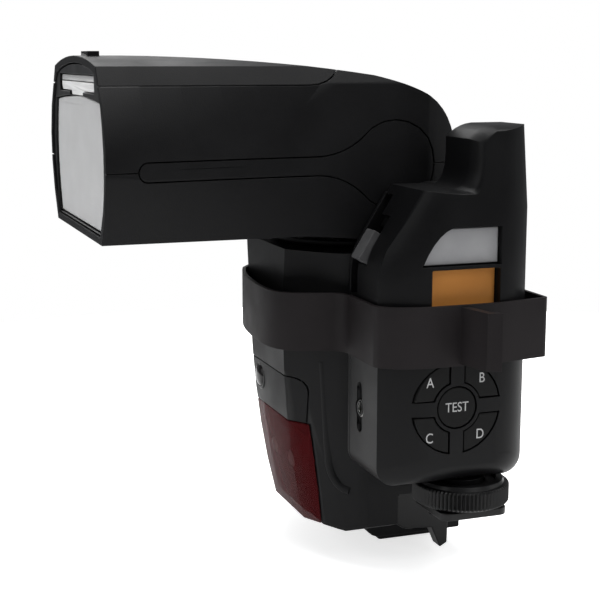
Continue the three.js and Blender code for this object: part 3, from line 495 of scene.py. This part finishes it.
# ---- moulded pieces: the CAD shape with its edges broken ----
# name: (CAD node, body, slot, finish, edge radius, weld)
mouldings = {
    "headLowerCasing": ("head_lower_shell", "head", "casing", casingAbs, 0.3, 0.12),
    "headUpperCasing": ("head_upper_shell", "head", "casing", casingAbs, 0.3, 0.12),
    "headTopCover": ("head_top_cover", "head", "casing", casingAbs, 0.35, 0.12),
    "pivotStripRight": ("pivot_cover_right", "head", "casing", casingAbs, 0.2, 0.1),
    "pivotStripLeft": ("pivot_cover_left", "head", "casing", casingAbs, 0.2, 0.1),
    "headFrontFrame": ("head_front_frame", "head", "dark_trim", trimAbs, 0.35, 0.1),
    "neckTurntable": ("neck_turntable", "neck", "dark_trim", trimAbs, 0.4, 0.1),
    "bodyFrontCasing": ("body_front_shell", "flash_body", "casing", casingAbs, 0.3, 0.12),
    "bodyRearCasing": ("body_rear_shell", "flash_body", "casing", casingAbs, 0.3, 0.12),
    "frontCover": ("front_cover", "flash_body", "casing", casingAbs, 0.25, 0.1),
    "redFilterWindow": ("af_window", "flash_body", "red_window", redPolycarbonate, 0.25, 0.1),
    "batteryDoor": ("battery_door", "battery_door", "casing", casingAbs, 0.3, 0.1),
    "socketCover": ("socket_cover", "socket_cover", "rubber", keyRubber, 0.25, 0.1),
    "displayGlass": ("display_window", "flash_body", "dark_window", smokedAcrylic, 0.2, 0.05),
    "displayCell": ("display_panel", "flash_body", "screen", liquidCrystal, 0.1, 0.05),
    "modeButton": ("button_mode", "button_mode", "keys", keyRubber, 0.35, 0.05),
    "zoomButton": ("button_zoom", "button_zoom", "keys", keyRubber, 0.35, 0.05),
    "lightButton": ("button_light", "button_light", "keys", keyRubber, 0.35, 0.05),
    "pilotButton": ("pilot_button", "pilot_button", "pilot_lamp", milkyLamp, 0.3, 0.05),
    "powerSlider": ("power_switch", "power_switch", "keys", trimAbs, 0.2, 0.05),
    "footBlock": ("foot_block", "flash_body", "casing", casingAbs, 0.5, 0.05),
    "shoePlate": ("shoe_plate", "flash_body", "dark_trim", trimAbs, 0.2, 0.05),
    "lockLever": ("lock_lever", "lock_lever", "dark_trim", trimAbs, 0.35, 0.05),
    "triggerBackCasing": ("trigger_back_shell", "flash_body", "casing", triggerAbs, 0.25, 0.05),
    "triggerFrontCasing": ("trigger_front_shell", "flash_body", "casing", triggerAbs, 0.3, 0.12),
    "triggerGreyPanel": ("trigger_panel", "flash_body", "grey_window", greyPaint, 0.2, 0.05),
    "amberDisplay": ("trigger_display", "flash_body", "orange_display", amberFilm, 0.15, 0.05),
    "testButton": ("test_button", "test_button", "keys", keyRubber, 0.3, 0.05),
    "channelSlider": ("mode_switch", "mode_switch", "grey_window", slideGrey, 0.25, 0.05),
    "triggerFootPlate": ("trigger_foot", "flash_body", "steel", trimAbs, 0.25, 0.05),
    "bounceCard": ("bounce_card", "bounce_card", "white_card", cardPet, 0.15, 0.05),
    "widePanel": ("wide_panel", "wide_panel", "wide_panel", frostedPet, 0.15, 0.05),
    "tiltRelease": ("tilt_release_button", "tilt_release_button", "keys", trimAbs, 0.3, 0.05),
    "triggerJack": ("trigger_jack", "flash_body", "steel", turnedSteel, 0.25, 0.05),
    "strapBand": ("strap", "flash_body", "rubber", strapRubber, 0.28, 0.1),
}
for letter in "abcd":
    mouldings["key" + letter.upper()] = (
        "key_" + letter, "key_" + letter, "keys", keyRubber, 0.3, 0.05)
# the card's and panel's lips reach nearly to the front of their slot
pulledForward = {"bounce_card": 2.2, "wide_panel": 2.2}
lipRounds = {"end": 1.7, "tongue": 1.3, "steps": 6, "foremost": 0.2, "near": 0.1, "band": 1.3}


def reachForward(shape, front, reach):
    # the foremost faces move forward, and the outer corners of the lip are rounded
    for vert in shape.verts:
        if vert.co.y < (front + lipRounds["foremost"]) * mm:
            vert.co.y -= reach * mm
    low = min(vert.co.z for vert in shape.verts)
    high = max(vert.co.z for vert in shape.verts)
    wide = max(vert.co.x for vert in shape.verts)
    panelBottom = spanOf("wide_panel")[0].z * mm
    near = lipRounds["near"] * mm
    # the panel lies on top and is rounded above, the card below
    cornerLow, cornerHigh = low - near, low + lipRounds["band"] * mm
    if low > panelBottom - near:
        cornerLow, cornerHigh = high - near, high + near
    alongY = [edge for edge in shape.edges
              if abs((edge.verts[0].co - edge.verts[1].co).normalized().y) > 0.9]
    outer = [edge for edge in alongY if abs(edge.verts[0].co.x) > wide - near
             and cornerLow < edge.verts[0].co.z < cornerHigh]
    tongue = [edge for edge in alongY if abs(edge.verts[0].co.x) < wide * 0.5
              and edge.verts[0].co.z < low + near]
    for edges, radius in ((outer, lipRounds["end"]), (tongue, lipRounds["tongue"])):
        if edges:
            bmesh.ops.bevel(shape, geom=edges, offset=radius * mm, offset_type="OFFSET",
                            affect="EDGES", segments=lipRounds["steps"], profile=0.5,
                            material=-1, clamp_overlap=True)


# planes through the holes, as (axis, levels); the controls' own places give the levels
middles = {node: (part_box(node)[0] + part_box(node)[1]) / 2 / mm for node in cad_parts}
holeCuts = {
    "head_front_frame": [(0, (0,))],
    "front_cover": [(0, (middles["light_sensor"].x,))],
    "body_front_shell": [(1, (middles["socket_cover"].y,))],
    "body_rear_shell": [(0, (middles["button_mode"].x, 0, middles["button_light"].x))],
    "shoe_plate": [(0, (-4, -3, 0, 3, 4))],
    "trigger_front_shell": [(1, (middles["key_a"].y, middles["test_button"].y,
                                 middles["key_b"].y)), (0, (middles["trigger_jack"].x,))],
}
for name, (node, body, slotName, finish, radius, weld) in mouldings.items():
    planes = []
    for axis, levels in holeCuts.get(node, ()):
        normal = [float(axis == i) for i in range(3)]
        planes += [([level * part for part in normal], normal) for level in levels]
    shape = mergedCopy(node, weld, planes)
    if node in pulledForward:
        reachForward(shape, spanOf(node)[0].y, pulledForward[node])
    breakEdges(shape, radius)
    addPiece(name, shape, body, finish, [node], weighted=True)
print("moulded pieces")

# ---- seams: each lower casing's tongue shows dark behind the gap ----
# name: (CAD node, lowest and highest cut, shift up, shrink in x)
tongues = {
    "splitTongue": ("head_lower_shell", 108.7, 109.5, 0.75, 0.982),
    "coverTongue": ("head_upper_shell", 129.0, 129.6, 0.6, 0.982),
}
for name, (node, low, high, lift, shrink) in tongues.items():
    tongue = keepBetween(mergedCopy(node, 0.1), 2, low, high)
    keepBetween(tongue, 1, spanOf(node)[0].y - 1, middles["tilt_axle"].y - 13)
    bmesh.ops.holes_fill(tongue, edges=[edge for edge in tongue.edges if edge.is_boundary])
    bmesh.ops.scale(tongue, vec=(shrink, 0.994, 1), verts=tongue.verts)
    bmesh.ops.translate(tongue, vec=(0, -0.2 * mm, lift * mm), verts=tongue.verts)
    addPiece(name, tongue, "head", trimAbs)

# ---- flash window: a flat rim round fine pressed ridges ----
paneLook = {"rim": 1.3, "pitch": 1.0, "depth": 0.05, "sink": 0.06, "edge": 0.3}
paneHigh = spanOf("lens_pane")[1]
pane = breakEdges(mergedCopy("lens_pane", 0.05), paneLook["edge"])
pressed = [max((face for face in pane.faces if face.normal.y < -0.9),
               key=lambda face: face.calc_area())]
bmesh.ops.inset_region(pane, faces=pressed, thickness=paneLook["rim"] * mm, depth=0,
                       use_even_offset=True)
for vert in pressed[0].verts:
    vert.co.y += paneLook["sink"] * mm
front = pressed[0].calc_center_median().y / mm
ridgeLow = min(vert.co.z for vert in pressed[0].verts) / mm
rows = int((paneHigh.z - ridgeLow) / paneLook["pitch"] * 2)
for row in range(1, rows):
    cutAt(pane, (0, 0, ridgeLow + row * paneLook["pitch"] / 2), (0, 0, 1))
for vert in pane.verts:
    row = (vert.co.z / mm - ridgeLow) / paneLook["pitch"] * 2
    if abs(vert.co.y / mm - front) < 0.01 and abs(row - round(row)) < 0.02 and round(row) % 2:
        vert.co.y += paneLook["depth"] * mm
addPiece("frostedPane", pane, "head", frostedAcrylic, ["lens_pane"], smooth=20)

# ---- light sensor: a dark dome in a bezel on the front cover ----
sensorLow, sensorHigh = spanOf("light_sensor")
sensorPlace = (middles["light_sensor"].x, sensorLow.y + 0.25, middles["light_sensor"].z)
sensorRadius = (sensorHigh.x - sensorLow.x) / 2
sensor = roundStack([(sensorRadius, -1.6)] + domeRings(sensorRadius, 0.1, 1.2), 40)
addPiece("sensorDome", inPlace(sensor, sensorPlace, facingFront), "flash_body",
         sensorGlass, ["light_sensor"])
bezel = roundStack([(sensorRadius + 0.05, -0.6), (sensorRadius + 0.9, -0.6),
                    (sensorRadius + 0.9, 0.1), (sensorRadius + 0.6, 0.45),
                    (sensorRadius + 0.25, 0.45), (sensorRadius + 0.05, 0.25)], 48, hollow=True)
addPiece("sensorBezel", inPlace(bezel, sensorPlace, facingFront), "flash_body",
         trimAbs)

# ---- focus-assist lamps behind the red window ----
assistLamps = {"spread": 7.2, "radius": 3.1, "depth": 5.6, "block": (24, 2.4, 13)}
windowLow = spanOf("af_window")[0]
lampPlace = Vector((0, windowLow.y + assistLamps["depth"], middles["af_window"].z + 2))
lampBlock = inPlace(roundedBar(assistLamps["block"], 0.5), lampPlace)
addPiece("assistLampBlock", lampBlock, "flash_body", slideGrey)
domes = [inPlace(roundStack([(assistLamps["radius"], -0.5)] +
                            domeRings(assistLamps["radius"], 1, 2.2), 32),
                 lampPlace + Vector((side * assistLamps["spread"], 0, 0)), facingFront)
         for side in (-1, 1)]
addPiece("assistLampDomes", gathered(*domes), "flash_body", milkyLamp)
print("front details")

# ---- rear panel: dial, set button, screen and legends ----
dialLow, dialHigh = spanOf("select_dial")
dialRadius = (dialHigh.x - dialLow.x) / 2
setLow, setHigh = spanOf("set_button")
setRadius = (setHigh.x - setLow.x) / 2
panelFace = dialHigh.y - 1.2
dialPlace = (0, panelFace, middles["select_dial"].z)
dial = roundStack([
    (setRadius + 0.3, -1.6), (dialRadius, -1.6), (dialRadius, 0.5, 0.3),
    (dialRadius - 0.3, 0.95, 0.3), (dialRadius - 0.9, 1.2, 0), (dialRadius - 1.3, 1.1),
    (dialRadius - 1.7, 0.75), (setRadius + 1.0, 0.75), (setRadius + 0.6, 0.95),
    (setRadius + 0.3, 0.9)], 120, hollow=True)
addPiece("selectDial", inPlace(dial, dialPlace, facingRear), "select_dial", trimAbs,
         ["select_dial"])
setButton = roundStack([(setRadius, -1.5), (setRadius, 0.45), (setRadius - 0.15, 0.75),
                        (setRadius - 0.5, 0.9), (setRadius - 1.2, 0.8), (setRadius - 2.4, 0.62),
                        (0.3, 0.55)], 56)
addPiece("setButton", inPlace(setButton, dialPlace, facingRear), "set_button", keyRubber,
         ["set_button"])
arrowRadius = 5.8
quarterTurns = [math.tau * turn / 4 for turn in range(4)]
dialMarks = [lettering("\u25b2", 1.1, facingRear @ Matrix.Rotation(angle, 3, "Z"),
                       (-arrowRadius * math.sin(-angle), panelFace + 0.77,
                        dialPlace[2] + arrowRadius * math.cos(angle)))
             for angle in quarterTurns]
addPiece("dialArrows", gathered(*dialMarks), "select_dial", paleInk)

# CAD node: the legend printed on it
rearLegends = {"button_mode": "MODE", "button_zoom": "ZOOM", "button_light": "LIGHT"}
for node, text in rearLegends.items():
    face = spanOf(node)[1].y
    legend = lettering(text, 1.5, facingRear, (middles[node].x, face + 0.01, middles[node].z))
    addPiece(node + "Legend", legend, node, paleInk)
powerPlace = middles["power_switch"]
powerLegend = gathered(
    lettering("ON", 1.5, facingRear, (powerPlace.x - 0.6, panelFace + 0.01, powerPlace.z + 3.4)),
    lettering("OFF", 1.5, facingRear, (powerPlace.x + 6.2, panelFace + 0.01, powerPlace.z + 3.4)))
setLegend = lettering("SET", 1.3, facingRear, (0, setHigh.y - 0.3, dialPlace[2]))
addPiece("setLegend", setLegend, "set_button", paleInk)
addPiece("panelLegends", powerLegend, "flash_body", paleInk)
switchFace = spanOf("power_switch")[1].y
switchRidges = [inPlace(roundedBar((0.45, 0.5, 2.2), 0.15),
                        (powerPlace.x - 1.2 + step * 0.8, switchFace, powerPlace.z))
                for step in range(4)]
addPiece("powerSwitchRidges", gathered(*switchRidges), "power_switch", trimAbs)

screenFace = spanOf("display_panel")[1].y + 0.03
screenText = [("M", 4.6, -14, 53.4), ("1/16", 5.4, 4, 53.2), ("35", 4.0, -12.6, 43.4),
              ("mm", 1.9, -6.6, 42.4), ("F8", 3.2, 13.4, 43.6)]
segments = [lettering(text, tall, facingRear, (-x, screenFace, z), 0.8)
            for text, tall, x, z in screenText]
segments += [inPlace(roundedBar((0.35, 0.08, 1.6 if step % 4 == 0 else 0.9), 0.03),
                     (14 - step * 2.2, screenFace, 48.3)) for step in range(13)]
addPiece("screenSegments", gathered(*segments), "flash_body", darkInk)
print("rear panel")

# ---- side details of the flash ----
doorLow, doorHigh = spanOf("battery_door")
doorGrips = {"count": 7, "pitch": 1.5, "long": 11, "top": 5}
grips = [inPlace(roundedBar((0.8, doorGrips["long"], 0.75), 0.25),
                 (doorLow.x, middles["battery_door"].y,
                  doorHigh.z - doorGrips["top"] - row * doorGrips["pitch"]))
         for row in range(doorGrips["count"])]
grips.append(lettering("\u25bc", 4, facingLeft, (doorLow.x - 0.02, middles["battery_door"].y,
                                                 doorHigh.z - 21), 1.1, 0.15))
addPiece("doorGrips", gathered(*grips), "battery_door", casingAbs)
socketLow, socketHigh = spanOf("socket_cover")
pullLip = inPlace(roundedBar((1.1, 3.2, 1.1), 0.4),
                  (socketLow.x + 0.9, middles["socket_cover"].y + 0.8, socketHigh.z - 2))
addPiece("socketLip", pullLip, "socket_cover", keyRubber)
releasePlace = (spanOf("tilt_release_button")[0].x, middles["tilt_release_button"].y,
                middles["tilt_release_button"].z)
releaseRings = gathered(*[inPlace(roundStack(
    [(radius, -0.3), (radius + 0.45, -0.3), (radius + 0.45, 0.12), (radius, 0.12)], 40,
    hollow=True), releasePlace, facingLeft) for radius in (1.1, 2.1, 3.1)])
addPiece("releaseRings", releaseRings, "tilt_release_button", trimAbs)
neckLow = spanOf("neck_turntable")[0]
tick = {"count": 9, "step": 30, "radius": 21.2, "size": (0.35, 1.6, 0.08)}
ticks = []
for mark in range(tick["count"]):
    turn = Matrix.Rotation(math.radians(tick["step"] * (mark - 2)), 3, "Z")
    spoke = turn @ Vector((0, -tick["radius"], 0))
    ticks.append(inPlace(roundedBar(tick["size"], 0.03),
                         (spoke.x, middles["neck_turntable"].y + spoke.y, neckLow.z + 1.62), turn))
addPiece("swivelTicks", gathered(*ticks), "neck", paleInk)

# ---- trigger: legends, lock wheel and jack ----
triggerFace = spanOf("test_button")[1].x
keyLegends = {"A": (-16.0, 58.0), "B": (-1.9, 58.3), "C": (-16.0, 43.9), "D": (-2.1, 43.9)}
for text, (y, z) in keyLegends.items():
    node = "key_" + text.lower()
    legend = lettering(text, 2.6, facingRight, (triggerFace + 0.01, y, z))
    addPiece("legend" + text, legend, node, paleInk)
testLegend = lettering("TEST", 2.5, facingRight, (triggerFace + 0.01, middles["test_button"].y,
                                                  middles["test_button"].z))
addPiece("legendTest", testLegend, "test_button", paleInk)

wheelLow, wheelHigh = spanOf("lock_wheel")
wheelRadius = (wheelHigh.x - wheelLow.x) / 2
wheelBore = 6.35
lockWheel = roundStack([
    (wheelBore, 0.3), (wheelRadius - 1.2, 0.1), (wheelRadius - 0.5, 0.4, 0.3),
    (wheelRadius, 0.8, 0.55), (wheelRadius, 4.9, 0.55), (wheelRadius - 0.4, 5.3, 0.3),
    (wheelRadius - 1.3, 5.5), (wheelRadius - 1.7, 6.4), (wheelRadius - 2.1, 6.5),
    (wheelRadius - 3.4, 6.5), (wheelRadius - 3.8, 5.6), (wheelBore, 5.6)], 144, hollow=True)
addPiece("knurledLockWheel", inPlace(lockWheel, (middles["lock_wheel"].x, middles["lock_wheel"].y,
                                                 wheelLow.z)),
         "lock_wheel", trimAbs, ["lock_wheel"], smooth=25)

jackPlace = middles["trigger_jack"]
jackInsert = roundStack([(1.35, -2.4), (2.0, -2.4), (2.0, 0.1), (1.8, 0.25), (1.35, 0.2)], 32,
                        hollow=True)
addPiece("jackInsulator", inPlace(jackInsert, (jackPlace.x, spanOf("trigger_jack")[0].y + 0.05,
                                               jackPlace.z), facingFront),
         "flash_body", trimAbs)
# the ridge that the fingers find on the front corner of the body: down the corner with a
# slight lean, then a quarter turn out to the side; the heights are above the shell's foot
shellLow, shellHigh = spanOf("body_front_shell")
grip = {"inset": 9, "depth": 10.4, "top": 47, "turn": 21, "foot": 12, "lean": 1.8, "out": 4.4,
        "radius": 1.4, "steps": 4}
gripTurn = Vector((shellHigh.x - grip["inset"], shellLow.y + grip["depth"],
                   shellLow.z + grip["turn"]))
gripLine = [gripTurn + Vector((0, -grip["lean"], grip["top"] - grip["turn"]))]
for step in range(grip["steps"] + 1):
    angle = math.pi / 2 * step / grip["steps"]
    out = grip["out"] * (1 - math.cos(angle))
    drop = (grip["turn"] - grip["foot"]) * math.sin(angle)
    gripLine.append(gripTurn + Vector((out, out, -drop)))
gripRidge = bead(gripLine, grip["radius"])
addPiece("gripRidge", gripRidge, "flash_body", casingAbs)

# ---- flash tube ends ----
tubeHigh = spanOf("flash_tube")[1]
caps = [inPlace(roundStack([(2.15, -1.6), (2.15, 1.2), (1.7, 1.6), (0.6, 1.7), (0.6, 3.0)], 28),
                (side * (tubeHigh.x - 1.4), middles["flash_tube"].y, middles["flash_tube"].z),
                facingRight if side > 0 else facingLeft) for side in (-1, 1)]
addPiece("tubeEndCaps", gathered(*caps), "zoom_carriage", drawnCan)
print("side and trigger details")
